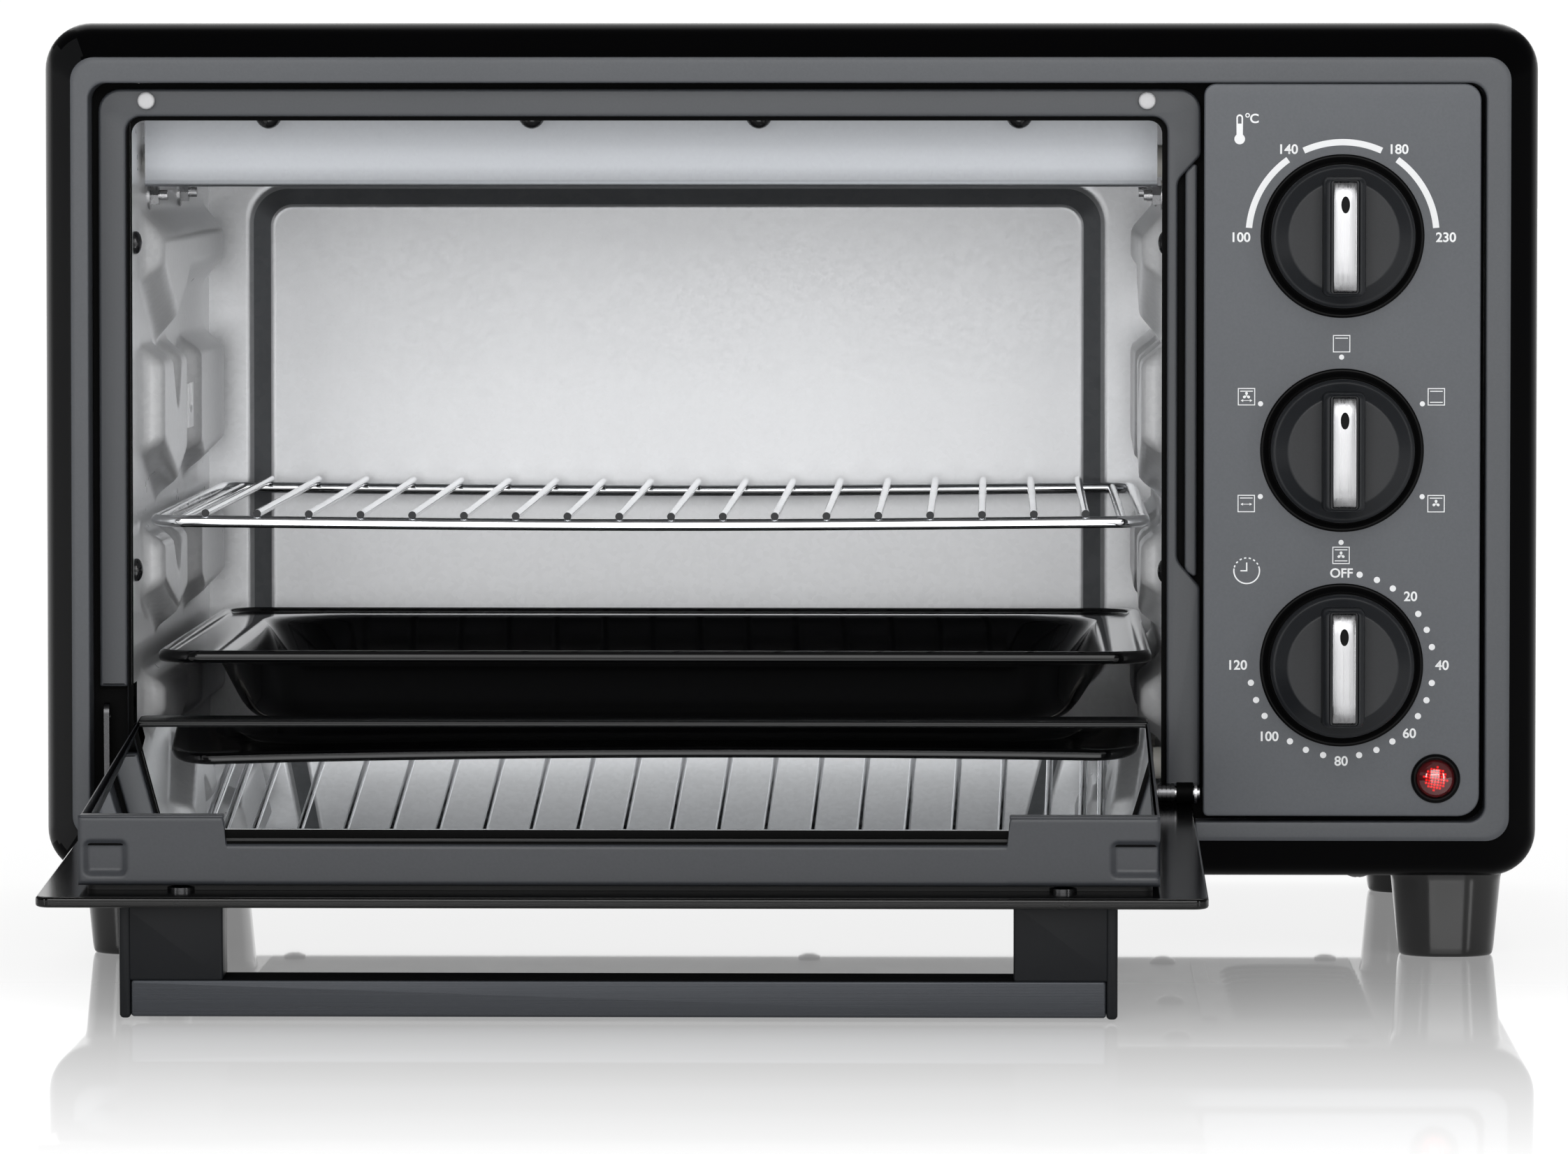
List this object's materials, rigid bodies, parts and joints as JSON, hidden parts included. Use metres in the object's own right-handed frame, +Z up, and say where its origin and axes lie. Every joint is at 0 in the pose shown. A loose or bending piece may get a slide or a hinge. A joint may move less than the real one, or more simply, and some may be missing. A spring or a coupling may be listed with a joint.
{
  "type": "toaster oven",
  "caption": "Countertop toaster oven with a drop-down glass door, wire rack, baking tray and three rotary controls.",
  "frame": {"origin": "middle of the footprint (open door included), on the plane the feet stand on", "axes": "+X to the right seen from the front, +Y from the front to the back, +Z up"},
  "size_m": [0.454, 0.5386, 0.2834],
  "materials": {
    "case_paint": "satin",
    "bezel_paint": "satin",
    "panel_paint": "satin",
    "surround_paint": "satin",
    "door_paint": "satin",
    "aluminised_steel": "satin",
    "black_screws": "gloss",
    "steel": "satin",
    "chrome": "polished",
    "knob_insert": "brushed",
    "knob_plastic": "satin",
    "handle_plastic": "satin",
    "handle_bar": "brushed anodised",
    "foot_plastic": "satin",
    "switch_plastic": "satin",
    "outer_glass": "gloss",
    "inner_glass": "gloss",
    "silicone": "satin",
    "seal_rubber": "matte",
    "black_enamel": "gloss",
    "heater_tube": "satin",
    "ceramic": "satin",
    "red_lens": "gloss",
    "motor_steel": "satin"
  },
  "bodies": {
    "case": {"outer_wrap": "case_paint", "front_frame": "bezel_paint", "bottom_panel": "aluminised_steel", "rear_panel": "case_paint", "case_screws": "black_screws", "rear_spacers": "foot_plastic", "cord_gland": "foot_plastic", "terminal_block": "switch_plastic", "feet_front": "foot_plastic", "feet_rear": "foot_plastic", "door_surround": "surround_paint", "door_bumpers": "silicone", "cavity_left_wall": "aluminised_steel", "cavity_right_wall": "aluminised_steel", "cavity_ceiling": "aluminised_steel", "cavity_floor": "aluminised_steel", "cavity_rear_wall": "aluminised_steel", "upper_heat_deflector": "aluminised_steel", "cavity_screws": "black_screws", "upper_heaters": "heater_tube", "lower_heaters": "heater_tube", "heater_insulators": "ceramic", "heater_fixings": "steel", "spit_holder": "steel", "control_panel": "panel_paint", "lamp_bezel": "knob_plastic", "lamp_lens": "red_lens", "lamp_bulb": "ceramic", "thermostat_body": "switch_plastic", "mode_switch_body": "switch_plastic", "timer_body": "motor_steel", "fan_motor": "motor_steel", "spit_motor": "motor_steel", "crumb_tray": "aluminised_steel", "hinge_bracket_left": "black_screws", "hinge_bracket_right": "black_screws", "hinge_spring_right": "steel"},
    "door": {"door_outer_glass": "outer_glass", "door_frame": "door_paint", "inner_glass_seal": "seal_rubber", "door_inner_glass": "inner_glass", "handle_bracket_left": "handle_plastic", "handle_bracket_right": "handle_plastic", "handle_bar": "handle_bar", "handle_screws": "steel", "hinge_pins": "steel", "hinge_lever_left": "steel"},
    "temperature_control": {"temperature_knob": "knob_plastic", "temperature_knob_insert": "knob_insert", "temperature_shaft": "steel"},
    "mode_control": {"mode_knob": "knob_plastic", "mode_knob_insert": "knob_insert", "mode_shaft": "steel"},
    "timer_control": {"timer_knob": "knob_plastic", "timer_knob_insert": "knob_insert", "timer_shaft": "steel"},
    "fan": {"fan": "motor_steel"},
    "spit_drive": {"spit_drive_socket": "steel"},
    "wire_rack": {"wire_rack": "chrome"},
    "baking_tray": {"baking_tray": "black_enamel"}
  },
  "joints": [
    {"name": "door_hinge", "type": "hinge", "parent": "case", "child": "door", "pos_m": [0, -0.0577, 0.0512], "axis": [-1, 0, 0], "range_deg": [0, 93]},
    {"name": "temperature_turn", "type": "hinge", "parent": "case", "child": "temperature_control", "pos_m": [0.1659, -0.0677, 0.2194], "axis": [0, 1, 0], "range_deg": [-90, 90]},
    {"name": "mode_turn", "type": "hinge", "parent": "case", "child": "mode_control", "pos_m": [0.1659, -0.0677, 0.1551], "axis": [0, 1, 0], "continuous": true},
    {"name": "timer_turn", "type": "hinge", "parent": "case", "child": "timer_control", "pos_m": [0.1659, -0.0677, 0.0905], "axis": [0, 1, 0], "range_deg": [0, 270]},
    {"name": "fan_spin", "type": "hinge", "parent": "case", "child": "fan", "pos_m": [0.1245, 0.0803, 0.1], "axis": [1, 0, 0], "continuous": true},
    {"name": "spit_drive_turn", "type": "hinge", "parent": "case", "child": "spit_drive", "pos_m": [0.124, 0.0803, 0.165], "axis": [1, 0, 0], "continuous": true},
    {"name": "wire_rack_slide", "type": "slide", "parent": "case", "child": "wire_rack", "axis": [0, 1, 0], "range_m": [-0.2, 0]},
    {"name": "baking_tray_slide", "type": "slide", "parent": "case", "child": "baking_tray", "axis": [0, 1, 0], "range_m": [-0.2, 0]}
  ]
}
